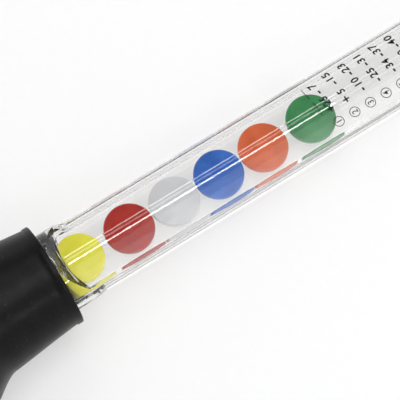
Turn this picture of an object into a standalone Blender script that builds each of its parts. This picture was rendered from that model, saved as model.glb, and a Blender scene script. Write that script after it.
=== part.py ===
"""Antifreeze tester: a rubber squeeze bulb on a flat clear barrel with six coloured float discs.

The tester lies on its back. +X runs along the barrel from the bulb to the nozzle, and +Z is the
printed front. The origin is on the surface that the bulb lies on, under the middle of the length.
"""

from math import acos, atan2, cos, pi, radians, sin, sqrt, tan

import bmesh
import bpy
from mathutils import Matrix, Vector

# General fits and cuts
fit_gap = 0.0003
overrun = 0.0010
weld_distance = 0.000001

# Barrel: the flat clear body
barrel_width = 0.0190
barrel_depth = 0.0100
face_width = 0.0169
front_side_reach = 0.0025
back_side_reach = 0.0031
barrel_edge_radius = 0.0003
front_strip_width = 0.0016
front_strip_rise = 0.00028
front_strip_flank = 0.00045
channel_width = 0.0166
channel_depth = 0.0042
channel_lift = 0.00042
chamber_length = 0.1216
end_wall = 0.0015
standoff_rib_height = 0.0012
standoff_rib_width = 0.0012
standoff_rib_spacing = 0.0080

# Barrel: the round neck in the bulb's collar
neck_radius = 0.0105
neck_bore_radius = 0.0088
neck_depth = 0.0200
neck_show = 0.0003
front_slope_length = 0.0033
slope_bow = 22.0
slope_fillet = 0.0003
side_taper_length = 0.0042
ledge_depth = 0.0016

# Barrel: the nozzle end
nozzle_shoulder_length = 0.0100
hose_seat_radius = 0.0045
spigot_length = 0.0245
spigot_root_radius = 0.0030
spigot_tip_radius = 0.0024
barb_rise = 0.00035
barb_pitch = 0.0045
barb_count = 3
nozzle_bore_radius = 0.0012

# Squeeze bulb
bulb_length = 0.0840
bulb_radius = 0.0210
bulb_wall = 0.0026
collar_length = 0.0190
collar_mouth_radius = 0.01325
collar_back_radius = 0.0152
collar_lip_length = 0.0010
collar_lip_rise = 0.00025
bulb_shoulder_length = 0.0120
bulb_end_length = 0.0240
bore_flare_length = 0.0060
rubber_colour = (0.012, 0.012, 0.013)

# Finger walls of the bulb
press_wall_length = 0.0380
press_wall_height = 0.0210
press_wall_offset = 0.0330

# Neck stop
stop_length = 0.0060
stop_wall = 0.0012
stop_bar_width = 0.0016
stop_bar_thickness = 0.0015

# Float discs, from the bulb end to the nozzle end
disc_radius = 0.0064
disc_thickness = 0.0016
disc_rim_width = 0.0012
disc_rim_height = 0.0006
disc_gaps = (0.00290, 0.00165, 0.00030, 0.00030, 0.00040, 0.00160)
disc_colours = {
    "yellow": (0.74, 0.68, 0.06),
    "red": (0.56, 0.03, 0.02),
    "white": (0.72, 0.75, 0.80),
    "blue": (0.03, 0.15, 0.60),
    "orange": (0.72, 0.13, 0.03),
    "green": (0.03, 0.30, 0.08),
}

# Facets of the round and rounded shapes
round_segments = 32
side_points = 7
face_points = 2
rim_steps = 2
slope_steps = 6
taper_steps = 4
crease_search_steps = 40
curve_steps = 7

# Places along the barrel, worked out from the sizes above
barrel_show = (chamber_length - ledge_depth + end_wall
               + nozzle_shoulder_length + spigot_length)
mouth_x = bulb_length - (bulb_length + barrel_show) / 2
bulb_end_x = mouth_x - bulb_length
ledge_x = mouth_x - ledge_depth
chamber_end_x = ledge_x + chamber_length
slope_start_x = mouth_x + neck_show
taper_start_x = slope_start_x + front_slope_length + slope_bow * (barrel_width / 2) ** 2
flat_end_x = chamber_end_x + end_wall
hose_seat_x = flat_end_x + nozzle_shoulder_length
tip_x = hose_seat_x + spigot_length


def clear_scene():
    for old in list(bpy.data.objects):
        bpy.data.objects.remove(old)


def material(name, colour, roughness, transmission=0.0):
    made = bpy.data.materials.new(name)
    made.use_nodes = True
    shader = made.node_tree.nodes["Principled BSDF"]
    shader.inputs["Base Color"].default_value = (*colour, 1.0)
    shader.inputs["Roughness"].default_value = roughness
    shader.inputs["Metallic"].default_value = 0.0
    shader.inputs["Transmission Weight"].default_value = transmission
    return made


def add_object(name, bm, finish, parent, smooth_angle=radians(30)):
    bmesh.ops.recalc_face_normals(bm, faces=bm.faces)
    mesh = bpy.data.meshes.new(name)
    bm.to_mesh(mesh)
    bm.free()
    mesh.shade_smooth()
    mesh.set_sharp_from_angle(angle=smooth_angle)
    if finish:
        mesh.materials.append(finish)
    made = bpy.data.objects.new(name, mesh)
    bpy.context.scene.collection.objects.link(made)
    made.parent = parent
    return made


def add_cutter(name, bm, parent):
    cutter = add_object(name, bm, None, parent)
    cutter.hide_render = True
    cutter.display_type = "WIRE"
    return cutter


def combine(target, tool, operation):
    modifier = target.modifiers.new(tool.name, "BOOLEAN")
    modifier.operation = operation
    modifier.solver = "EXACT"
    modifier.object = tool


def turned(profile, segments=round_segments):
    """A solid of revolution about the X axis from (x, radius) points."""
    bm = bmesh.new()
    verts = [bm.verts.new((x, 0.0, radius)) for x, radius in profile]
    edges = [bm.edges.new(pair) for pair in zip(verts, verts[1:])]
    bmesh.ops.spin(bm, geom=verts + edges, cent=(0, 0, 0), axis=(1, 0, 0), dvec=(0, 0, 0),
                   angle=2 * pi, steps=segments, use_merge=True)
    bmesh.ops.remove_doubles(bm, verts=bm.verts, dist=weld_distance)
    return bm


def block(low, high):
    """A box between two corners."""
    bm = bmesh.new()
    bmesh.ops.create_cube(bm, size=1.0)
    low, high = Vector(low), Vector(high)
    bmesh.ops.scale(bm, vec=high - low, verts=bm.verts)
    bmesh.ops.translate(bm, vec=(low + high) / 2, verts=bm.verts)
    return bm


def loft(sections):
    """A closed solid through rings that have the same number of points."""
    bm = bmesh.new()
    rings = [[bm.verts.new(point) for point in section] for section in sections]
    for ring, following in zip(rings, rings[1:]):
        for i in range(len(ring)):
            j = (i + 1) % len(ring)
            bm.faces.new((ring[i], ring[j], following[j], following[i]))
    bm.faces.new(rings[0])
    bm.faces.new(reversed(rings[-1]))
    return bm


def full_ring(x, front, back):
    """A ring from the (y, z) points of its front and back quarters, both read from the +Y side."""
    upper = front + [(-y, z) for y, z in reversed(front)]
    lower = [(-y, -z) for y, z in back] + [(y, -z) for y, z in reversed(back)]
    return [(x, y, z) for y, z in upper + lower]


def arc(centre_y, centre_z, radius, first_angle, last_angle, steps):
    """Points along an arc, from its first angle above +Y to its last."""
    angles = [first_angle + (last_angle - first_angle) * step / steps for step in range(steps + 1)]
    return [(centre_y + radius * cos(a), centre_z + radius * sin(a)) for a in angles]


def slope_height(x, y):
    """How high the slope between the neck and the flat front stands above the axis."""
    foot_x = slope_start_x + front_slope_length + slope_bow * y ** 2
    fall = (neck_radius - barrel_depth / 2) / front_slope_length
    rise = (foot_x - x) * fall
    return barrel_depth / 2 + (rise + sqrt(rise ** 2 + slope_fillet ** 2)) / 2


def crease_angle(x):
    """The angle above +Y at which the slope leaves the neck's round side."""
    low, high = 0.0, acos(1.5 * (front_strip_width / 2 + front_strip_flank) / neck_radius)
    for _ in range(crease_search_steps):
        middle = (low + high) / 2
        if slope_height(x, neck_radius * cos(middle)) > neck_radius * sin(middle):
            low = middle
        else:
            high = middle
    return low


def cut_quarter(x, rise):
    """A quarter of the neck's section, from its side up its slope to a strip that stands rise above."""
    last_angle = crease_angle(x)
    first_angle = last_angle / side_points / 2
    points = arc(0.0, 0.0, neck_radius, first_angle, last_angle, side_points - 1)
    strip_y = front_strip_width / 2
    foot_y = strip_y + front_strip_flank
    crease_y = points[-1][0]
    inner = [crease_y + (foot_y - crease_y) * step / (face_points + 1)
             for step in range(1, face_points + 1)]
    for y, lift in [(y, 0.0) for y in inner + [foot_y]] + [(strip_y, rise)]:
        points.append((y, min(slope_height(x, y) + lift, sqrt(neck_radius ** 2 - y ** 2))))
    return points


def flat_quarter(side_z, rise):
    """A quarter of the flat body's outline: a straight side, a flank that leans in and the face."""
    half_width, half_depth, face_y = barrel_width / 2, barrel_depth / 2, face_width / 2
    edge = barrel_edge_radius
    lean = atan2(half_width - face_y, half_depth - side_z)
    reach = edge * tan((pi / 2 - lean) / 2)
    points = [(half_width, side_z / 2), (half_width, side_z)]
    points += arc(face_y - reach, half_depth - edge, edge, lean, pi / 2, side_points - 3)
    strip_y = front_strip_width / 2
    foot_y = strip_y + front_strip_flank
    edge_y = points[-1][0]
    points += [(edge_y + (foot_y - edge_y) * step / (face_points + 1), half_depth)
               for step in range(1, face_points + 1)]
    return points + [(foot_y, half_depth), (strip_y, half_depth + rise)]


def ease(share):
    """A smooth rise from 0 to 1."""
    return share * share * (3 - 2 * share)


def mix(start, end, share):
    return [(a + (c - a) * share, b + (d - b) * share) for (a, b), (c, d) in zip(start, end)]


def round_section(x, radius):
    """A circle of any radius, with as many points as every other section."""
    scale = radius / neck_radius
    quarter = [(y * scale, z * scale) for y, z in cut_quarter(mouth_x - neck_depth, 0.0)]
    return full_ring(x, quarter, quarter)


def slope_section(share):
    """A section of the neck where its front and back slope down to the flat body's depth."""
    x = slope_start_x + (taper_start_x - slope_start_x) * share
    return full_ring(x, cut_quarter(x, front_strip_rise), cut_quarter(x, 0.0))


def taper_section(share):
    """A section where the neck's round sides draw in to the flat body's width."""
    x = taper_start_x + side_taper_length * share
    quarters = [mix(cut_quarter(x, rise), flat_quarter(side_z, rise), ease(share))
                for side_z, rise in ((front_side_reach, front_strip_rise), (back_side_reach, 0.0))]
    return full_ring(x, *quarters)


def flat_section(x):
    """A section of the flat body, whose strip is on its front alone."""
    return full_ring(x, flat_quarter(front_side_reach, front_strip_rise),
                     flat_quarter(back_side_reach, 0.0))


def spigot_sections():
    """The rings of the hose spigot: barbs that face its root, then a plain tapered tip."""
    taper = (spigot_root_radius - spigot_tip_radius) / spigot_length
    rings = [round_section(hose_seat_x, spigot_root_radius)]
    for barb in range(barb_count + 1):
        foot = (barb + 1 / 2) * barb_pitch
        radius = spigot_root_radius - taper * foot
        rings.append(round_section(hose_seat_x + foot, radius))
        if barb < barb_count:
            rings.append(round_section(hose_seat_x + foot + barb_rise, radius + barb_rise))
    rings.append(round_section(tip_x, spigot_tip_radius))
    return rings


def make_barrel(parent):
    clear = material("clear_plastic", (0.90, 0.93, 0.95), 0.05, transmission=1.0)
    neck_end_x = mouth_x - neck_depth
    outer = [round_section(neck_end_x, neck_radius)]
    outer += [slope_section(step / slope_steps) for step in range(slope_steps + 1)]
    outer += [taper_section(step / taper_steps) for step in range(1, taper_steps + 1)]
    outer += [flat_section(flat_end_x), round_section(hose_seat_x, hose_seat_radius)]
    outer += spigot_sections()
    barrel = add_object("barrel", loft(outer), clear, parent)

    bore = turned([(neck_end_x - overrun, 0.0), (neck_end_x - overrun, neck_bore_radius),
                   (ledge_x, neck_bore_radius), (ledge_x, 0.0)])
    combine(barrel, add_cutter("neck_bore_cutter", bore, parent), "DIFFERENCE")
    channel_floor, channel_roof = channel_lift - channel_depth / 2, channel_lift + channel_depth / 2
    channel = block((ledge_x - overrun, -channel_width / 2, channel_floor),
                    (chamber_end_x, channel_width / 2, channel_roof))
    combine(barrel, add_cutter("channel_cutter", channel, parent), "DIFFERENCE")
    for side, name in ((-1, "right"), (1, "left")):
        middle = side * standoff_rib_spacing / 2
        rib = block((chamber_end_x - standoff_rib_height, middle - standoff_rib_width / 2,
                     channel_floor - overrun),
                    (chamber_end_x + overrun, middle + standoff_rib_width / 2,
                     channel_roof + overrun))
        combine(barrel, add_cutter("standoff_rib_" + name, rib, parent), "UNION")
    nozzle_bore = turned([(chamber_end_x - overrun, 0.0),
                          (chamber_end_x - overrun, nozzle_bore_radius),
                          (tip_x + overrun, nozzle_bore_radius), (tip_x + overrun, 0.0)])
    combine(barrel, add_cutter("nozzle_bore_cutter", nozzle_bore, parent), "DIFFERENCE")


def make_neck_stop(parent):
    """A ring with a cross at its front, pushed in the neck's bore up to the ledge."""
    dark = material("stop_plastic", (0.02, 0.02, 0.022), 0.4)
    outer_radius = neck_bore_radius - fit_gap
    inner_radius = outer_radius - stop_wall
    front_x = ledge_x - fit_gap
    ring = turned([(front_x, inner_radius), (front_x, outer_radius),
                   (front_x - stop_length, outer_radius), (front_x - stop_length, inner_radius),
                   (front_x, inner_radius)])
    stop = add_object("neck_stop", ring, dark, parent)
    reach = (inner_radius + outer_radius) / 2
    half = stop_bar_width / 2
    for name, (y, z) in {"upright": (half, reach), "level": (reach, half)}.items():
        bar = block((front_x - stop_bar_thickness, -y, -z), (front_x, y, z))
        combine(stop, add_cutter("stop_bar_" + name, bar, parent), "UNION")


def bulb_outline(inset):
    """The swelling body's (x, radius) points from the collar's back to the far end, inset by a wall."""
    collar_back_x = mouth_x - collar_length
    swell = bulb_radius - collar_back_radius
    points = []
    for step in range(curve_steps + 1):
        share = step / curve_steps
        points.append((collar_back_x - bulb_shoulder_length * share,
                       collar_back_radius + swell * ease(share) - inset))
    end_start_x = bulb_end_x + bulb_end_length
    for step in range(curve_steps + 1):
        angle = pi / 2 * step / curve_steps
        points.append((end_start_x - (bulb_end_length - inset) * sin(angle),
                       (bulb_radius - inset) * cos(angle)))
    points[-1] = (bulb_end_x + inset, 0.0)
    return points


def bulb_body():
    """The whole bulb as one turned shell, open at its collar."""
    grip_radius = neck_radius + fit_gap
    lip_x = mouth_x - collar_lip_length
    lip_radius = collar_mouth_radius + collar_lip_rise
    outer = [(mouth_x, lip_radius), (lip_x, lip_radius),
             (lip_x - collar_lip_rise, collar_mouth_radius + collar_lip_rise / 2)]
    outer += bulb_outline(0.0)
    grip_end_x = mouth_x - neck_depth - fit_gap
    inner = [point for point in bulb_outline(bulb_wall) if point[0] < grip_end_x - bore_flare_length]
    inner = inner[::-1] + [(grip_end_x, grip_radius), (mouth_x, grip_radius), outer[0]]
    return turned(outer + inner)


def press_prism(clearance, near_y, far_y):
    """The oval prism along Y that parts a finger wall from the bulb."""
    bm = bmesh.new()
    bmesh.ops.create_cone(bm, cap_ends=True, segments=round_segments, radius1=1.0, radius2=1.0,
                          depth=1.0)
    half_length, half_height = press_wall_length / 2 + clearance, press_wall_height / 2 + clearance
    bmesh.ops.rotate(bm, cent=(0, 0, 0), matrix=Matrix.Rotation(pi / 2, 3, "X"), verts=bm.verts)
    bmesh.ops.scale(bm, vec=(half_length, far_y - near_y, half_height), verts=bm.verts)
    middle = (bulb_end_x + press_wall_offset, (near_y + far_y) / 2, 0.0)
    bmesh.ops.translate(bm, vec=middle, verts=bm.verts)
    return bm


def make_bulb(parent):
    rubber = material("black_rubber", rubber_colour, 0.55)
    reach = bulb_radius + overrun
    shell = add_object("bulb_shell", bulb_body(), rubber, parent)
    opening = press_prism(fit_gap, -reach, reach)
    combine(shell, add_cutter("press_opening_cutter", opening, parent), "DIFFERENCE")
    for side, name in ((1, "press_wall_left"), (-1, "press_wall_right")):
        body = bulb_body()
        middle = Vector((bulb_end_x + press_wall_offset, side * (bulb_radius - bulb_wall / 2), 0.0))
        bmesh.ops.translate(body, vec=-middle, verts=body.verts)
        wall = add_object(name, body, material(name + "_rubber", rubber_colour, 0.55), parent)
        wall.location = middle
        near_y, far_y = sorted((0.0, side * reach))
        prism = press_prism(0.0, near_y, far_y)
        combine(wall, add_cutter(name + "_cutter", prism, parent), "INTERSECT")


def disc_body():
    """A disc about +Z with rounded rims."""
    half = disc_thickness / 2
    rim = [(half - disc_rim_height * (1 - sin(a)), disc_radius - disc_rim_width * (1 - cos(a)))
           for a in (pi / 2 * step / rim_steps for step in range(rim_steps + 1))]
    upper = [(half, 0.0)] + rim[::-1]
    bm = turned(upper + [(-x, radius) for x, radius in reversed(upper)])
    bmesh.ops.rotate(bm, cent=(0, 0, 0), matrix=Matrix.Rotation(-pi / 2, 3, "Y"), verts=bm.verts)
    return bm


def make_discs(parent):
    centre_x = ledge_x - fit_gap - disc_radius
    centre_z = channel_lift - channel_depth / 2 + fit_gap + disc_thickness / 2
    for gap, (name, colour) in zip(disc_gaps, disc_colours.items()):
        centre_x += gap + 2 * disc_radius
        disc = add_object("disc_" + name, disc_body(), material("disc_" + name, colour, 0.3), parent)
        disc.location = (centre_x, 0.0, centre_z)


def main():
    clear_scene()
    axis = bpy.data.objects.new("barrel_axis", None)
    axis.location = (0.0, 0.0, bulb_radius)
    bpy.context.scene.collection.objects.link(axis)
    make_barrel(axis)
    make_neck_stop(axis)
    make_bulb(axis)
    make_discs(axis)


main()
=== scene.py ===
from math import acos, atan2, cos, pi, radians, sin, sqrt, tan

import bmesh
import bpy
from mathutils import Matrix, Vector


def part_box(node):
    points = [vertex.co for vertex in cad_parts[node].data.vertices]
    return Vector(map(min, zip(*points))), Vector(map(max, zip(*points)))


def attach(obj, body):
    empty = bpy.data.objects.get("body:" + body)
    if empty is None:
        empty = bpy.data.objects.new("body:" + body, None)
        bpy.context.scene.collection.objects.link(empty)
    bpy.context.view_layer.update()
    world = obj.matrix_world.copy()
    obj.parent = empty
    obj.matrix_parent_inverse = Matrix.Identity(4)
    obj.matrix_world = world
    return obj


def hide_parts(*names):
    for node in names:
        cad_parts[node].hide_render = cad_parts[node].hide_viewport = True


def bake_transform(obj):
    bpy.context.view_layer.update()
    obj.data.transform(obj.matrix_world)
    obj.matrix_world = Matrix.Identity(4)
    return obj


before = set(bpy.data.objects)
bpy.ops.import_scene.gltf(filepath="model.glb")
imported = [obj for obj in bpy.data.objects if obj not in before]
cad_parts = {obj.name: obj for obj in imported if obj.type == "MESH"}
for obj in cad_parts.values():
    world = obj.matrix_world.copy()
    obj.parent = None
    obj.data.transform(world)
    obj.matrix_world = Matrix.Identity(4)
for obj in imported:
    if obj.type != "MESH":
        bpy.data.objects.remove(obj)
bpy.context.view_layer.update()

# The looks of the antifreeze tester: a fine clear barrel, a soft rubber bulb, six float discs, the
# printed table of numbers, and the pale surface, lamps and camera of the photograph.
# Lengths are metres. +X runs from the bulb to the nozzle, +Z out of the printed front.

# Places and sizes read from the frame
barrel_low, barrel_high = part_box("barrel")
shell_low, shell_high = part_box("bulb_shell")
stop_low, stop_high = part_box("neck_stop")
axis_z = (barrel_low.z + barrel_high.z) / 2
neck_radius = (barrel_high.z - barrel_low.z) / 2
neck_end_x, tip_x = barrel_low.x, barrel_high.x
bulb_end_x, mouth_x = shell_low.x, shell_high.x
bulb_radius = (shell_high.z - shell_low.z) / 2

# Barrel, outside
barrel_width = 0.0190
barrel_depth = 0.0100
face_width = 0.0169
front_side_reach = 0.0025
back_side_reach = 0.0031
barrel_edge_radius = 0.00015
front_strip_width = 0.0016
front_strip_rise = 0.00022
front_strip_flank = 0.00035
neck_show = 0.0003
front_slope_length = 0.0033
slope_fillet = 0.0003
side_taper_length = 0.0042
nozzle_shoulder_length = 0.0100
hose_seat_radius = 0.0045
spigot_length = 0.0245
spigot_root_radius = 0.0030
spigot_tip_radius = 0.0024
barb_rise = 0.00035
barb_pitch = 0.0045
barb_count = 3

# At a distance y from the middle, the slope's foot lies slope_bow * y ** 2 further along
slope_bow = 22.0

# The slope's crease comes no nearer to the middle than this share of the strip foot's distance
crease_reach_share = 1.5

# Barrel, inside
neck_bore_radius = 0.0088
ledge_depth = 0.0016
channel_width = 0.0166
channel_depth = 0.0042
channel_lift = 0.00042
channel_corner_radius = 0.00045
chamber_length = 0.1216
standoff_rib_height = 0.0012
standoff_rib_width = 0.0012
standoff_rib_spacing = 0.0080
nozzle_bore_radius = 0.0012
cut_overrun = 0.0010

# Squeeze bulb
bulb_wall = 0.0026
collar_length = 0.0190
collar_mouth_radius = 0.01325
collar_back_radius = 0.0152
collar_lip_length = 0.0010
collar_lip_rise = 0.00025
collar_reach = 0.0005
bulb_shoulder_length = 0.0120
bulb_end_length = 0.0240
bore_flare_length = 0.0060
grip_gap = 0.0003
grip_bite = 0.00002
rubber_waviness = 0.00006

# Waves in the rubber: share of the waviness, waves round it, radians to the metre along it, phase
rubber_waves = ((1.0, 3, 180.0, 0.0), (0.6, 5, -310.0, 1.0), (0.5, 2, 520.0, 0.0))

# Neck stop and discs
stop_wall = 0.0012
stop_bar_width = 0.0016
stop_bar_thickness = 0.0015
stop_edge_radius = 0.0002
stop_edge_angle = radians(60)
disc_rim_width = 0.0004
disc_rim_height = 0.0004

# Printed table of numbers on the front
table_rows = (("+", "25", "-", "7"), ("+", "5", "-", "15"), ("-", "10", "-", "23"),
              ("-", "25", "-", "31"), ("-", "34", "-", "37"), ("-", "40", "-", "40"))
first_row_x = 0.0440
row_spacing = 0.00474
ring_column_y = -0.00555
column_ys = (-0.00160, 0.00075, 0.00355, 0.00568)
digit_height = 0.00205
digit_boldness = 0.00007
sign_height = 0.00260
sign_boldness = 0.00006
ring_digit_height = 0.00170
ring_digit_boldness = 0.00002
digit_spacing = 1.15
digit_condensing = 0.90
ring_radius = 0.00138
ring_stroke = 0.00018
header_offset = 0.0026
rule_width = 0.00020
ink_thickness = 0.000015
ink_gap = 0.000005

# The two short rules over the table: place across the front, length
header_rules = ((0.0049, 0.0034), (0.0000, 0.0040))

# How high a digit of the font stands, as a share of the font's size
font_height_share = 0.73

# Past print_bow_start a mark at y lies print_bow * (y - print_bow_start) ** 2 nearer to the bulb
print_bow = 16.0
print_bow_start = -0.0010

# Textures, in features to the metre
flow_line_scale = 90.0
handling_mark_scale = 900.0
rubber_bloom_scale = 260.0
rubber_grain_scale = 2600.0
rubber_speck_scale = 1500.0
disc_cloud_scale = 220.0
disc_grain_scale = 1800.0
plain_grain_scale = 1200.0
floor_grain_scale = 400.0

# How deep the textures are, how high the rubber's bloom stands beside its grain, and how strongly
# they tilt the surface
plastic_grain_depth = 0.00002
rubber_grain_depth = 0.00005
bloom_height_share = 2.0
flow_strength = 0.02
rubber_strength = 0.5
disc_strength = 0.35
plain_strength = 0.3

# Roughness and gloss, where two values stand for the low and the high end of a texture
mark_roughness = (0.0, 0.05)
rubber_roughness = (0.40, 0.29)
disc_roughness = (0.10, 0.18)
stop_roughness = 0.4
ink_roughness = 0.6
roughness_change = 0.06
rubber_gloss = 0.14
stop_gloss = 0.5
ink_gloss = 0.1

# Which stretch of a texture the handling marks, and the shades of plain and disc plastic, follow
mark_range = (0.45, 0.75)
shade_range = (0.35, 0.65)
darker_share = 0.9

# Clear plastic: its tint, its refraction, and how much of the lamps' light it passes straight on
clear_tint = (0.980, 0.978, 0.974)
clear_refraction = 1.52
clear_passed = (0.94, 0.94, 0.94)

# How many reflections inside the clear plastic the renderer follows
deepest_reflection = 4

# How pale the painted grey is on which light ends that is still inside after them, in the neck and past
# it
# The grey is a painted reflection: dark in the neck, where the dark collar would be seen, pale past it
painted_trapped_tones = (0.01, 0.44)

# Colours, those with a position as stops of a ramp
bloom_stops = ((0.30, (0.0020, 0.0020, 0.0022)), (0.62, (0.0042, 0.0042, 0.0044)),
               (0.80, (0.0120, 0.0120, 0.0123)))
speck_stops = ((0.70, (0.0, 0.0, 0.0)), (0.76, (0.02, 0.02, 0.02)))
disc_colours = {
    "yellow": ((0.80, 0.75, 0.038), (0.88, 0.84, 0.070)),
    "red": ((0.36, 0.012, 0.005), (0.44, 0.020, 0.010)),
    "white": ((0.61, 0.615, 0.63), (0.68, 0.685, 0.70)),
    "blue": ((0.020, 0.110, 0.45), (0.034, 0.155, 0.57)),
    "orange": ((0.61, 0.105, 0.028), (0.71, 0.135, 0.042)),
    "green": ((0.032, 0.21, 0.065), (0.048, 0.27, 0.090)),
}
stop_colour = (0.020, 0.020, 0.022)
ink_colour = (0.008, 0.008, 0.009)
floor_stops = ((0.3, (0.93, 0.93, 0.93)), (0.7, (0.95, 0.95, 0.95)))

# Floor, and the share of plain white in what is seen of it
floor_size = 3.0
floor_gap = 0.0002
floor_own_share = 0.42

# Studio round the tester: height from the horizon, 0, to straight above, 1, and tone
studio_tones = ((0.0, 1.0), (0.35, 1.0), (0.55, 0.30), (0.80, 0.10), (1.0, 0.06))

# Lamps: name, place, where along Y it aims, width along X, length, radiance
overhead_height = 0.80
overhead_edge_y = 0.199
overhead_length = 0.80
overhead_y = overhead_edge_y - overhead_length / 2
lamps = (
    ("overhead_panel", (0.0, overhead_y, overhead_height), overhead_y, 1.20, overhead_length, 0.70),
    ("south_key", (0.07, -0.74, 0.66), 0.0, 0.50, 0.05, 16.0),
    ("overhead_step", (0.00, -0.05, 0.795), -0.05, 1.20, 0.48, 0.5),
    ("overhead_key", (0.00, -0.03, 0.79), -0.03, 0.55, 0.30, 2.7),
    ("north_key", (0.00, 0.46, 0.80), 0.0, 0.75, 0.38, 1.7),
    ("north_rim", (0.02, 0.98, 0.22), 0.0, 0.60, 0.05, 2.0),
)

# Camera, measured in the photograph's frame of 400 by 400 pixels
photo_pixels = 400
camera_place = Vector((-0.0632, -0.0995, 0.3800 + axis_z))
camera_aim = Vector((0.0046, -0.0030, axis_z))
camera_roll = radians(31.27)
camera_focal_pixels = 1604.0
camera_clip_start = 0.01
camera_clip_end = 20.0
sensor_width = 36.0

# Fineness of the meshes
round_segments = 128
side_points = 15
face_points = 12
slope_steps = 22
crease_search_steps = 40
curve_steps = 28
collar_steps = 10
channel_corner_steps = 5
edge_steps = 4
rim_steps = 10
weld_distance = 0.000001
flat_edge_step = 0.0005
sharp_angle = radians(30)
flat_face_weight = 100
round_profile = 0.5

# Where a Mix node for colours keeps its factor, its two colours and its result
mix_factor, mix_first, mix_second, mix_result = 0, 6, 7, 2

# Places across the barrel
strip_y = front_strip_width / 2
strip_foot_y = strip_y + front_strip_flank
channel_floor = channel_lift - channel_depth / 2
channel_roof = channel_lift + channel_depth / 2
collar_lip_radius = collar_mouth_radius + collar_lip_rise

# Places along the barrel
ledge_x = mouth_x - ledge_depth
chamber_end_x = ledge_x + chamber_length
slope_start_x = mouth_x + neck_show
taper_start_x = slope_start_x + front_slope_length + slope_bow * (barrel_width / 2) ** 2
flat_start_x = taper_start_x + side_taper_length
hose_seat_x = tip_x - spigot_length
flat_end_x = hose_seat_x - nozzle_shoulder_length

# Places along the bulb
rim_x = mouth_x + collar_reach
collar_back_x = mouth_x - collar_length
shoulder_end_x = collar_back_x - bulb_shoulder_length
end_start_x = bulb_end_x + bulb_end_length


def place_object(name, data):
    """An object in the scene for a mesh, a text, a light or a camera."""
    made = bpy.data.objects.new(name, data)
    bpy.context.scene.collection.objects.link(made)
    return made


def add_object(name, bm, finish):
    """An object for a mesh that is used up by it, smooth but for its sharp edges."""
    bmesh.ops.recalc_face_normals(bm, faces=bm.faces)
    mesh = bpy.data.meshes.new(name)
    bm.to_mesh(mesh)
    bm.free()
    mesh.shade_smooth()
    mesh.set_sharp_from_angle(angle=sharp_angle)
    if finish:
        mesh.materials.append(finish)
    return place_object(name, mesh)


def apply_modifiers(made):
    """The object keeps the mesh that its modifiers give."""
    graph = bpy.context.evaluated_depsgraph_get()
    mesh = bpy.data.meshes.new_from_object(made.evaluated_get(graph))
    made.modifiers.clear()
    made.data = mesh


def combine(target, bm, operation):
    """A Boolean with a mesh that is used up by it."""
    tool = add_object("tool", bm, None)
    modifier = target.modifiers.new("combine", "BOOLEAN")
    modifier.operation = operation
    modifier.solver = "EXACT"
    modifier.object = tool
    apply_modifiers(target)
    bpy.data.objects.remove(tool)


def even_normals(made):
    """Large flat faces stay flat beside their narrow rounded edges."""
    made.data.set_sharp_from_angle(angle=sharp_angle)
    modifier = made.modifiers.new("normals", "WEIGHTED_NORMAL")
    modifier.keep_sharp = True
    modifier.weight = flat_face_weight
    apply_modifiers(made)


def turned(profile):
    """A surface of revolution about the X axis from (x, radius) points."""
    bm = bmesh.new()
    verts = [bm.verts.new((x, 0.0, radius)) for x, radius in profile]
    edges = [bm.edges.new(pair) for pair in zip(verts, verts[1:])]
    bmesh.ops.spin(bm, geom=verts + edges, cent=(0, 0, 0), axis=(1, 0, 0), dvec=(0, 0, 0),
                   angle=2 * pi, steps=round_segments, use_merge=True)
    bmesh.ops.remove_doubles(bm, verts=bm.verts, dist=weld_distance)
    return bm


def rod(start_x, end_x, radius):
    """A round rod on the X axis."""
    return turned([(start_x, 0.0), (start_x, radius), (end_x, radius), (end_x, 0.0)])


def block(low, high):
    """A box between two corners."""
    bm = bmesh.new()
    bmesh.ops.create_cube(bm, size=1.0)
    low, high = Vector(low), Vector(high)
    bmesh.ops.scale(bm, vec=high - low, verts=bm.verts)
    bmesh.ops.translate(bm, vec=(low + high) / 2, verts=bm.verts)
    return bm


def loft(sections):
    """A closed solid through rings that have the same number of points."""
    bm = bmesh.new()
    rings = [[bm.verts.new(point) for point in section] for section in sections]
    for ring, following in zip(rings, rings[1:]):
        for i in range(len(ring)):
            j = (i + 1) % len(ring)
            bm.faces.new((ring[i], ring[j], following[j], following[i]))
    bm.faces.new(rings[0])
    bm.faces.new(reversed(rings[-1]))
    return bm


def full_ring(x, front, back):
    """A ring from the (y, z) points of its front and back quarters, both read from the +Y side."""
    upper = front + [(-y, z) for y, z in reversed(front)]
    lower = [(-y, -z) for y, z in back] + [(y, -z) for y, z in reversed(back)]
    return [(x, y, z) for y, z in upper + lower]


def arc(centre_y, centre_z, radius, first_angle, last_angle, steps):
    """Points along an arc, from its first angle above +Y to its last."""
    angles = [first_angle + (last_angle - first_angle) * step / steps for step in range(steps + 1)]
    return [(centre_y + radius * cos(a), centre_z + radius * sin(a)) for a in angles]


def rounding(corner, width, height, steps):
    """Points along the quarter of an ellipse that rounds off a corner of an outline."""
    angles = [pi / 2 * step / steps for step in range(steps + 1)]
    return [(corner[0] - width * (1 - cos(a)), corner[1] - height * (1 - sin(a))) for a in angles]


def ease(share):
    """A smooth rise from 0 to 1."""
    return share * share * (3 - 2 * share)


def mix(start, end, share):
    """The points that lie a share of the way from one outline to another."""
    return [(a + (c - a) * share, b + (d - b) * share) for (a, b), (c, d) in zip(start, end)]


def slope_height(x, y):
    """How high the slope between the neck and the flat front stands above the axis."""
    foot_x = slope_start_x + front_slope_length + slope_bow * y ** 2
    fall = (neck_radius - barrel_depth / 2) / front_slope_length
    rise = (foot_x - x) * fall
    return barrel_depth / 2 + (rise + sqrt(rise ** 2 + slope_fillet ** 2)) / 2


def crease_angle(x):
    """The angle above +Y at which the slope leaves the neck's round side."""
    low, high = 0.0, acos(crease_reach_share * strip_foot_y / neck_radius)
    for _ in range(crease_search_steps):
        middle = (low + high) / 2
        if slope_height(x, neck_radius * cos(middle)) > neck_radius * sin(middle):
            low = middle
        else:
            high = middle
    return low


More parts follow.
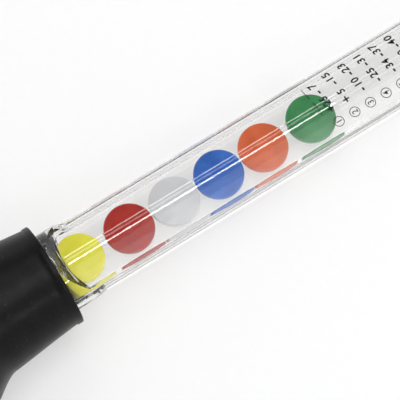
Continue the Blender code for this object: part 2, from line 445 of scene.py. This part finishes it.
def face_places(edge_y):
    """Where across a face its points lie, from past its edge to the strip's foot."""
    inner = [edge_y + (strip_foot_y - edge_y) * step / (face_points + 1)
             for step in range(1, face_points + 1)]
    return inner + [strip_foot_y]


def cut_quarter(x, rise):
    """A quarter of the neck's section, from its side up its slope to a strip that stands rise above."""
    last_angle = crease_angle(x)
    first_angle = last_angle / side_points / 2
    points = arc(0.0, 0.0, neck_radius, first_angle, last_angle, side_points - 1)
    for y, lift in [(y, 0.0) for y in face_places(points[-1][0])] + [(strip_y, rise)]:
        points.append((y, min(slope_height(x, y) + lift, sqrt(neck_radius ** 2 - y ** 2))))
    return points


def flat_quarter(side_z, rise):
    """A quarter of the flat body's outline: a straight side, a flank that leans in and the face.

    The side and the edge together have side_points points, as the neck's side has.
    """
    half_width, half_depth, face_y = barrel_width / 2, barrel_depth / 2, face_width / 2
    lean = atan2(half_width - face_y, half_depth - side_z)
    reach = barrel_edge_radius * tan((pi / 2 - lean) / 2)
    points = [(half_width, side_z / 2), (half_width, side_z)]
    points += arc(face_y - reach, half_depth - barrel_edge_radius, barrel_edge_radius, lean, pi / 2,
                  side_points - 3)
    points += [(y, half_depth) for y in face_places(points[-1][0])]
    return points + [(strip_y, half_depth + rise)]


def round_section(x, radius):
    """A circle of any radius, with as many points as every other section."""
    scale = radius / neck_radius
    quarter = [(y * scale, z * scale) for y, z in cut_quarter(neck_end_x, 0.0)]
    return full_ring(x, quarter, quarter)


def slope_section(share):
    """A section of the neck where its front and back slope down to the flat body's depth."""
    x = slope_start_x + (taper_start_x - slope_start_x) * share
    return full_ring(x, cut_quarter(x, front_strip_rise), cut_quarter(x, 0.0))


def taper_section(share):
    """A section where the neck's round sides draw in to the flat body's width."""
    x = taper_start_x + side_taper_length * share
    quarters = [mix(cut_quarter(x, rise), flat_quarter(side_z, rise), ease(share))
                for side_z, rise in ((front_side_reach, front_strip_rise), (back_side_reach, 0.0))]
    return full_ring(x, *quarters)


def flat_section(x):
    """A section of the flat body, whose strip is on its front alone."""
    return full_ring(x, flat_quarter(front_side_reach, front_strip_rise),
                     flat_quarter(back_side_reach, 0.0))


def spigot_sections():
    """The rings of the hose spigot: barbs that face its root, then a plain tapered tip."""
    taper = (spigot_root_radius - spigot_tip_radius) / spigot_length
    rings = [round_section(hose_seat_x, spigot_root_radius)]
    for barb in range(barb_count + 1):
        foot = (barb + 1 / 2) * barb_pitch
        radius = spigot_root_radius - taper * foot
        rings.append(round_section(hose_seat_x + foot, radius))
        if barb < barb_count:
            rings.append(round_section(hose_seat_x + foot + barb_rise, radius + barb_rise))
    rings.append(round_section(tip_x, spigot_tip_radius))
    return rings


def barrel_sections():
    """The rings of the barrel's outside, from the neck's end to the nozzle's tip."""
    shares = [step / slope_steps for step in range(slope_steps + 1)]
    rings = [round_section(neck_end_x, neck_radius)]
    rings += [slope_section(share) for share in shares]
    rings += [taper_section(share) for share in shares[1:]]
    rings += [flat_section(flat_start_x + flat_edge_step), flat_section(flat_end_x - flat_edge_step),
              flat_section(flat_end_x), round_section(hose_seat_x, hose_seat_radius)]
    return rings + spigot_sections()


def set_stops(ramp, stops):
    """Gives a colour ramp its (position, colour) stops."""
    stops = list(stops)
    elements = ramp.elements
    while len(elements) < len(stops):
        elements.new(0.5)
    for element, (position, colour) in zip(elements, stops):
        element.position = position
        element.color = (*colour, 1.0)


class Nodes:
    """A short way to build the node tree of a material or a world."""

    def __init__(self, owner, output="OutputMaterial"):
        self.owner = owner
        owner.use_nodes = True
        self.tree = owner.node_tree
        self.tree.nodes.clear()
        self.output = self.add(output)

    def put(self, value, socket):
        """Links a socket's value, or sets any other value."""
        if isinstance(value, bpy.types.NodeSocket):
            self.tree.links.new(value, socket)
        else:
            socket.default_value = value

    def add(self, kind, **inputs):
        """A node with its inputs set or linked. An input's name has _ where the socket has a space."""
        node = self.tree.nodes.new("ShaderNode" + kind)
        for name, value in inputs.items():
            self.put(value, node.inputs[name.replace("_", " ")])
        return node

    def noise(self, scale, detail=2.0, roughness=0.5, stretch=(1.0, 1.0, 1.0)):
        """Noise over the object, with a scale in features to the metre."""
        place = self.add("TexCoord").outputs["Object"]
        mapping = self.add("Mapping", Vector=place, Scale=stretch)
        return self.add("TexNoise", Vector=mapping.outputs["Vector"], Scale=scale, Detail=detail,
                        Roughness=roughness).outputs["Fac"]

    def ramp(self, factor, stops):
        """A colour that follows a factor, from (position, colour) stops."""
        node = self.add("ValToRGB", Fac=factor)
        set_stops(node.color_ramp, stops)
        return node.outputs["Color"]

    def span(self, factor, low, high, from_low=0.3, from_high=0.7):
        """A number from low to high that follows a factor."""
        return self.add("MapRange", Value=factor, From_Min=from_low, From_Max=from_high, To_Min=low,
                        To_Max=high).outputs["Result"]

    def math(self, operation, *values):
        """A number that is worked out from other numbers."""
        node = self.add("Math")
        node.operation = operation
        for value, socket in zip(values, node.inputs):
            self.put(value, socket)
        return node.outputs["Value"]

    def add_colours(self, first, second):
        """The sum of two colours."""
        node = self.add("Mix")
        node.data_type = "RGBA"
        node.blend_type = "ADD"
        for value, place in ((1.0, mix_factor), (first, mix_first), (second, mix_second)):
            self.put(value, node.inputs[place])
        return node.outputs[mix_result]

    def bump(self, height, distance, strength):
        """A surface's normal that follows a height."""
        return self.add("Bump", Height=height, Distance=distance,
                        Strength=strength).outputs["Normal"]

    def mix_shaders(self, share, first, second):
        """A shader that is the first where the share is 0 and the second where it is 1."""
        node = self.add("MixShader", Fac=share)
        self.put(first, node.inputs[1])
        self.put(second, node.inputs[2])
        return node.outputs["Shader"]

    def finish(self, shader):
        """The material or world, with the shader as its surface."""
        self.put(shader, self.output.inputs["Surface"])
        return self.owner


def painted_trapped_light(n):
    """A painted grey that is lit from both sides, on which light ends that is trapped in the clear
    plastic.

    The renderer would end it on black. The grey is painted in place of the reflections that light would
    show: painted dark in the neck, where the dark collar would be seen, and pale past it.
    """
    along = n.add("SeparateXYZ", Vector=n.add("TexCoord").outputs["Object"]).outputs["X"]
    tone = n.span(along, *painted_trapped_tones, slope_start_x, taper_start_x)
    both = n.add("AddShader")
    for kind, socket in zip(("BsdfDiffuse", "BsdfTranslucent"), both.inputs):
        n.put(n.add(kind, Color=tone).outputs["BSDF"], socket)
    return both.outputs["Shader"]


def clear_plastic():
    """Polished clear plastic with faint flow lines and handling marks, which lets lamps through."""
    n = Nodes(bpy.data.materials.new("clear_plastic"))
    flow = n.noise(flow_line_scale, detail=1.0, stretch=(0.15, 1.0, 1.0))
    marks = n.noise(handling_mark_scale, detail=3.0, stretch=(0.3, 1.0, 1.0))
    plastic = n.add("BsdfPrincipled", Base_Color=(*clear_tint, 1.0), IOR=clear_refraction,
                    Transmission_Weight=1.0, Roughness=n.span(marks, *mark_roughness, *mark_range),
                    Normal=n.bump(flow, plastic_grain_depth, flow_strength))
    passed = n.add("BsdfTransparent", Color=(*clear_passed, 1.0))
    path = n.add("LightPath").outputs
    unbent = n.math("MAXIMUM", path["Is Shadow Ray"], path["Is Diffuse Ray"])
    clear = n.mix_shaders(unbent, plastic.outputs["BSDF"], passed.outputs["BSDF"])
    # Past the deepest reflection the plastic shows a painted grey in place of the reflections that light
    # would carry
    trapped = n.math("GREATER_THAN", path["Glossy Depth"], deepest_reflection - 0.5)
    return n.finish(n.mix_shaders(trapped, clear, painted_trapped_light(n)))


def black_rubber():
    """Matte moulded rubber with a mottled bloom, fine grain and a few pale specks."""
    n = Nodes(bpy.data.materials.new("black_rubber"))
    bloom = n.noise(rubber_bloom_scale, detail=5.0, roughness=0.62)
    grain = n.noise(rubber_grain_scale, detail=3.0, roughness=0.6)
    specks = n.noise(rubber_speck_scale, detail=1.0)
    colour = n.add_colours(n.ramp(bloom, bloom_stops), n.ramp(specks, speck_stops))
    height = n.math("MULTIPLY_ADD", bloom, bloom_height_share, grain)
    rubber = n.add("BsdfPrincipled", Base_Color=colour, Roughness=n.span(bloom, *rubber_roughness),
                   Specular_IOR_Level=rubber_gloss,
                   Normal=n.bump(height, rubber_grain_depth, rubber_strength))
    return n.finish(rubber.outputs["BSDF"])


def disc_plastic(name, dark, light):
    """Satin moulded plastic whose colour clouds a little."""
    n = Nodes(bpy.data.materials.new(name))
    cloud = n.noise(disc_cloud_scale, detail=3.0)
    grain = n.noise(disc_grain_scale)
    colour = n.ramp(cloud, zip(shade_range, (dark, light)))
    plastic = n.add("BsdfPrincipled", Base_Color=colour, Roughness=n.span(grain, *disc_roughness),
                    Normal=n.bump(grain, plastic_grain_depth, disc_strength))
    return n.finish(plastic.outputs["BSDF"])


def plain_plastic(name, colour, roughness, gloss):
    """A plain moulded surface with a slight change of gloss and shade."""
    n = Nodes(bpy.data.materials.new(name))
    grain = n.noise(plain_grain_scale)
    darker = tuple(channel * darker_share for channel in colour)
    shades = n.ramp(grain, zip(shade_range, (darker, colour)))
    plastic = n.add("BsdfPrincipled", Base_Color=shades, Specular_IOR_Level=gloss,
                    Roughness=n.span(grain, roughness - roughness_change, roughness + roughness_change),
                    Normal=n.bump(grain, plastic_grain_depth, plain_strength))
    return n.finish(plastic.outputs["BSDF"])


def floor_surface():
    """A pale matte floor with plain white mixed in where it is seen, mirrored or looked at through."""
    n = Nodes(bpy.data.materials.new("pale_floor"))
    lit = n.add("BsdfDiffuse", Color=n.ramp(n.noise(floor_grain_scale), floor_stops))
    shown = n.add("Emission", Color=(1.0, 1.0, 1.0, 1.0), Strength=1.0)
    path = n.add("LightPath").outputs
    seen = n.math("MAXIMUM", path["Is Camera Ray"], path["Is Glossy Ray"])
    seen_or_passed = n.math("MAXIMUM", seen, path["Is Transmission Ray"])
    share = n.math("MULTIPLY", seen_or_passed, floor_own_share)
    return n.finish(n.mix_shaders(share, lit.outputs["BSDF"], shown.outputs["Emission"]))


def chamber():
    """The flat chamber with its rounded long edges, which opens into the neck's bore."""
    bm = block((ledge_x - cut_overrun, -channel_width / 2, channel_floor),
               (chamber_end_x, channel_width / 2, channel_roof))
    long_edges = [edge for edge in bm.edges
                  if abs(edge.verts[0].co.x - edge.verts[1].co.x) > channel_width]
    bmesh.ops.bevel(bm, geom=long_edges, offset=channel_corner_radius,
                    segments=channel_corner_steps, profile=round_profile, affect="EDGES")
    return bm


def standoff_rib(side):
    """One of the two ribs at the chamber's end, on the +Y or the -Y side."""
    middle = side * standoff_rib_spacing / 2
    return block((chamber_end_x - standoff_rib_height, middle - standoff_rib_width / 2,
                  channel_floor - cut_overrun),
                 (chamber_end_x + cut_overrun, middle + standoff_rib_width / 2,
                  channel_roof + cut_overrun))


def make_barrel():
    """The clear barrel with its neck, flat body and spigot, hollow from end to end."""
    barrel = add_object("barrel_clear", loft(barrel_sections()), clear_plastic())
    combine(barrel, rod(neck_end_x - cut_overrun, ledge_x, neck_bore_radius), "DIFFERENCE")
    combine(barrel, chamber(), "DIFFERENCE")
    for side in (-1, 1):
        combine(barrel, standoff_rib(side), "UNION")
    nozzle_bore = rod(chamber_end_x - cut_overrun, tip_x + cut_overrun, nozzle_bore_radius)
    combine(barrel, nozzle_bore, "DIFFERENCE")
    barrel.data.transform(Matrix.Translation((0.0, 0.0, axis_z)))
    even_normals(barrel)
    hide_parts("barrel")
    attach(barrel, "tester")


def make_neck_stop():
    """The ring with a cross that keeps the discs out of the bulb."""
    outer_radius = (stop_high.z - stop_low.z) / 2
    inner_radius = outer_radius - stop_wall
    front_x, back_x = stop_high.x, stop_low.x
    ring = turned([(front_x, inner_radius), (front_x, outer_radius), (back_x, outer_radius),
                   (back_x, inner_radius), (front_x, inner_radius)])
    finish = plain_plastic("stop_plastic", stop_colour, stop_roughness, stop_gloss)
    stop = add_object("neck_stop_ring", ring, finish)
    reach, half = (inner_radius + outer_radius) / 2, stop_bar_width / 2
    for y, z in ((half, reach), (reach, half)):
        combine(stop, block((front_x - stop_bar_thickness, -y, -z), (front_x, y, z)), "UNION")
    bevel = stop.modifiers.new("edges", "BEVEL")
    bevel.width = stop_edge_radius
    bevel.segments = edge_steps
    bevel.limit_method = "ANGLE"
    bevel.angle_limit = stop_edge_angle
    apply_modifiers(stop)
    stop.data.transform(Matrix.Translation((0.0, 0.0, axis_z)))
    even_normals(stop)
    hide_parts("neck_stop")
    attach(stop, "tester")


def bulb_outline(inset):
    """The swelling body's (x, radius) points from the collar's back to the far end, inset by a wall."""
    swell = bulb_radius - collar_back_radius
    points = []
    for step in range(curve_steps + 1):
        share = step / curve_steps
        points.append((collar_back_x - bulb_shoulder_length * share,
                       collar_back_radius + swell * ease(share) - inset))
    points += [(shoulder_end_x + (end_start_x - shoulder_end_x) * step / curve_steps,
                bulb_radius - inset) for step in range(1, curve_steps)]
    for step in range(curve_steps + 1):
        angle = pi / 2 * step / curve_steps
        points.append((end_start_x - (bulb_end_length - inset) * sin(angle),
                       (bulb_radius - inset) * cos(angle)))
    points[-1] = (bulb_end_x + inset, 0.0)
    return points


def collar_outline():
    """The (x, radius) points of the collar's outside, from its mouth to its back."""
    lip_x = mouth_x - collar_lip_length
    lip_back_x = lip_x - collar_lip_rise
    points = rounding((rim_x, collar_lip_radius), collar_lip_rise, collar_lip_rise, edge_steps)
    points += [(lip_x, collar_lip_radius), (lip_back_x, collar_mouth_radius)]
    points += [(lip_back_x + (collar_back_x - lip_back_x) * step / collar_steps,
                collar_mouth_radius + (collar_back_radius - collar_mouth_radius) * step / collar_steps)
               for step in range(1, collar_steps)]
    return points


def wavy(x, angle):
    """How far the moulded rubber stands off a true round shape."""
    return rubber_waviness * sum(share * sin(round_waves * angle + along * x + phase)
                                 for share, round_waves, along, phase in rubber_waves)


def rubber_point(x, radius, angle):
    """A point of the rubber, whose waviness fades towards the axis."""
    wavy_radius = radius + wavy(x, angle) * radius / bulb_radius
    return Vector((x, wavy_radius * sin(angle), wavy_radius * cos(angle) + axis_z))


def rubber_grid(profile):
    """The points and faces of a whole turned rubber surface, ring by ring."""
    angles = [2 * pi * step / round_segments for step in range(round_segments)]
    points = [rubber_point(x, radius, angle) for x, radius in profile for angle in angles]
    faces = []
    for start in range(0, (len(profile) - 1) * round_segments, round_segments):
        for i in range(round_segments):
            j = (i + 1) % round_segments
            faces.append((start + i, start + j, start + round_segments + j, start + round_segments + i))
    return points, faces


def smooth_normals(points, faces):
    """The smooth normal of a surface at each of its points."""
    mesh = bpy.data.meshes.new("whole")
    mesh.from_pydata(points, [], faces)
    mesh.update()
    normals = [vertex.normal.copy() for vertex in mesh.vertices]
    bpy.data.meshes.remove(mesh)
    return normals


def half_turned(name, profile, side, finish):
    """One side's half of a turned surface, whose normals match the other half's at the seam."""
    points, faces = rubber_grid(profile)
    normals = smooth_normals(points, faces)
    half = round_segments // 2
    kept = range(0, half) if side > 0 else range(half, round_segments)
    half_faces = [face for face in faces if face[0] % round_segments in kept]
    used = sorted({index for face in half_faces for index in face})
    number = {index: i for i, index in enumerate(used)}
    mesh = bpy.data.meshes.new(name)
    mesh.from_pydata([points[index] for index in used], [],
                     [[number[index] for index in face] for face in half_faces])
    mesh.materials.append(finish)
    mesh.shade_smooth()
    mesh.normals_split_custom_set_from_vertices([normals[index] for index in used])
    return place_object(name, mesh)


def make_bulb():
    """The bulb's outside and lining, each in two halves."""
    rubber = black_rubber()
    grip_radius = neck_radius - grip_bite
    grip_end_x = neck_end_x - grip_gap
    lining = [point for point in bulb_outline(bulb_wall) if point[0] < grip_end_x - bore_flare_length]
    outside = [(rim_x, grip_radius)] + collar_outline() + bulb_outline(0.0)
    inside = [(rim_x, grip_radius), (grip_end_x, grip_radius)] + lining
    surfaces = {"bulb": (outside, collar_lip_radius, bulb_radius),
                "bulb_lining": (inside[::-1], collar_lip_radius * (1 - bulb_wall / bulb_radius),
                                bulb_radius - bulb_wall)}
    for side, word in ((1, "left"), (-1, "right")):
        for name, (profile, steady, pressed) in surfaces.items():
            half = half_turned(f"{name}_{word}", profile, side, rubber)
            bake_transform(half)
            if name == "bulb":
                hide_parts("press_wall_" + word, "bulb_shell")


def make_discs():
    """The six float discs, each with its rim rounded off."""
    for colour_name, (dark, light) in disc_colours.items():
        node = "disc_" + colour_name
        low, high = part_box(node)
        radius, half = (high.x - low.x) / 2, (high.z - low.z) / 2
        rim = rounding((radius, half), disc_rim_width, disc_rim_height, rim_steps)
        outline = [(half, 0.0)] + [(z, r) for r, z in reversed(rim)]
        outline += [(-z, r) for r, z in rim] + [(-half, 0.0)]
        bm = turned(outline)
        bmesh.ops.rotate(bm, cent=(0, 0, 0), matrix=Matrix.Rotation(-pi / 2, 3, "Y"), verts=bm.verts)
        disc = add_object("float_disc_" + colour_name, bm, disc_plastic(node, dark, light))
        disc.data.transform(Matrix.Translation((low + high) / 2))
        even_normals(disc)
        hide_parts(node)
        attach(disc, "float_" + colour_name)


def text_outline(words, height, boldness):
    """A flat mesh of plain digits about its own middle, read along +X."""
    curve = bpy.data.curves.new("digits", "FONT")
    curve.body = words
    curve.align_x = "CENTER"
    curve.offset = boldness
    curve.space_character = digit_spacing
    curve.size = height / font_height_share
    holder = place_object("digits", curve)
    bpy.context.view_layer.update()
    graph = bpy.context.evaluated_depsgraph_get()
    bm = bmesh.new()
    mesh = bpy.data.meshes.new_from_object(holder.evaluated_get(graph))
    bm.from_mesh(mesh)
    bpy.data.objects.remove(holder)
    bpy.data.meshes.remove(mesh)
    bmesh.ops.scale(bm, vec=(digit_condensing, 1.0, 1.0), verts=bm.verts)
    bmesh.ops.translate(bm, vec=(0.0, -height / 2, 0.0), verts=bm.verts)
    return bm


def ring_outline(radius, stroke):
    """A flat ring."""
    bm = bmesh.new()
    angles = [2 * pi * step / round_segments for step in range(round_segments)]
    outer, inner = [[bm.verts.new((r * cos(a), r * sin(a), 0.0)) for a in angles]
                    for r in (radius, radius - stroke)]
    for i in range(round_segments):
        j = (i + 1) % round_segments
        bm.faces.new((outer[i], outer[j], inner[j], inner[i]))
    return bm


def rule_outline(length, width):
    """A flat bar along X."""
    bm = bmesh.new()
    corners = [(-length / 2, -width / 2), (length / 2, -width / 2), (length / 2, width / 2),
               (-length / 2, width / 2)]
    bm.faces.new([bm.verts.new((x, y, 0.0)) for x, y in corners])
    return bm


def table_marks():
    """Every mark of the table with its place: six ringed numbers, each with its row, and two rules."""
    marks = []
    for row, entries in enumerate(table_rows):
        x = first_row_x + row * row_spacing
        number = text_outline(str(row + 1), ring_digit_height, ring_digit_boldness)
        marks += [(number, x, ring_column_y), (ring_outline(ring_radius, ring_stroke), x, ring_column_y)]
        for entry, y in zip(entries, column_ys):
            height, boldness = digit_height, digit_boldness
            if entry in "+-":
                height, boldness = sign_height, sign_boldness
            marks.append((text_outline(entry, height, boldness), x, y))
    for y, length in header_rules:
        marks.append((rule_outline(length, rule_width), first_row_x - header_offset, y))
    return marks


def join_marks(marks):
    """One flat mesh of all the marks, each turned to be read across the front."""
    joined = bmesh.new()
    turn = Matrix.Rotation(pi / 2, 4, "Z")
    for bm, x, y in marks:
        bm.transform(Matrix.Translation((x, y, 0.0)) @ turn)
        piece = bpy.data.meshes.new("mark")
        bm.to_mesh(piece)
        bm.free()
        joined.from_mesh(piece)
        bpy.data.meshes.remove(piece)
    return joined


def front_height(y):
    """How high the front face stands above the axis at a distance from its middle."""
    share = min(max((strip_foot_y - abs(y)) / front_strip_flank, 0.0), 1.0)
    return barrel_depth / 2 + front_strip_rise * share


def lay_on_front(bm):
    """Lays flat marks over the front face and its strip, as a thin layer of ink."""
    for cut_y in (-strip_foot_y, -strip_y, strip_y, strip_foot_y):
        bmesh.ops.bisect_plane(bm, geom=bm.verts[:] + bm.edges[:] + bm.faces[:],
                               plane_co=(0.0, cut_y, 0.0), plane_no=(0.0, 1.0, 0.0))
    for vert in bm.verts:
        vert.co.x -= print_bow * max(0.0, vert.co.y - print_bow_start) ** 2
        vert.co.z = axis_z + front_height(vert.co.y) + ink_gap
    grown = bmesh.ops.extrude_face_region(bm, geom=bm.faces[:])
    tops = [item for item in grown["geom"] if isinstance(item, bmesh.types.BMVert)]
    bmesh.ops.translate(bm, vec=(0.0, 0.0, ink_thickness), verts=tops)


def make_print():
    """Plain numbers in a table: six ringed disc numbers, each with two temperatures."""
    marks = join_marks(table_marks())
    lay_on_front(marks)
    ink = plain_plastic("black_ink", ink_colour, ink_roughness, ink_gloss)
    table = add_object("printed_numbers", marks, ink)
    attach(table, "tester")


def make_floor():
    """A pale surface that touches the bulb's shoulder and the nozzle's tip."""
    tip_height = axis_z - spigot_tip_radius
    slope = atan2(tip_height, tip_x - shoulder_end_x)
    bm = bmesh.new()
    bmesh.ops.create_grid(bm, x_segments=1, y_segments=1, size=floor_size)
    floor = add_object("floor", bm, floor_surface())
    floor.rotation_euler = (0.0, -slope, 0.0)
    floor.location = (shoulder_end_x, 0.0, axis_z - bulb_radius - floor_gap)


def make_world():
    """A plain studio: white walls all round and a darker ceiling."""
    n = Nodes(bpy.data.worlds.new("studio"), "OutputWorld")
    direction = n.add("TexCoord").outputs["Generated"]
    height = n.add("SeparateXYZ", Vector=direction).outputs["Z"]
    tones = n.ramp(height, [(place, (tone, tone, tone)) for place, tone in studio_tones])
    studio = n.add("Background", Color=tones)
    bpy.context.scene.world = n.finish(studio.outputs["Background"])


def add_lamp(name, place, aim, width, length, radiance):
    """A soft area lamp with an even radiance, which the camera doesn't see."""
    light = bpy.data.lights.new(name, "AREA")
    light.shape = "RECTANGLE"
    light.size, light.size_y = width, length
    light.energy = radiance * pi * width * length
    lamp = place_object(name, light)
    lamp.location = place
    lamp.rotation_euler = (Vector(aim) - Vector(place)).to_track_quat("-Z", "Y").to_euler()
    lamp.visible_camera = False


def make_lamps():
    """The studio's lamps, each aimed at the height of the barrel's axis."""
    for name, place, aim_y, width, length, radiance in lamps:
        add_lamp(name, place, (place[0], aim_y, axis_z), width, length, radiance)


def make_camera():
    """The photograph's camera, which is rolled about its line of sight."""
    data = bpy.data.cameras.new("camera")
    data.sensor_width = sensor_width
    data.lens = camera_focal_pixels / photo_pixels * sensor_width
    data.clip_start, data.clip_end = camera_clip_start, camera_clip_end
    camera = place_object("camera", data)
    back = (camera_place - camera_aim).normalized()
    level = (Vector((1, 0, 0)) - back * back.x).normalized()
    above = back.cross(level)
    right = level * cos(camera_roll) - above * sin(camera_roll)
    up = level * sin(camera_roll) + above * cos(camera_roll)
    turn = Matrix((right, up, back)).transposed().to_4x4()
    camera.matrix_world = Matrix.Translation(camera_place) @ turn
    bpy.context.scene.camera = camera


make_barrel()
make_neck_stop()
make_bulb()
make_discs()
make_print()
make_floor()
make_world()
make_lamps()
make_camera()
bpy.context.scene.view_settings.view_transform = "Standard"
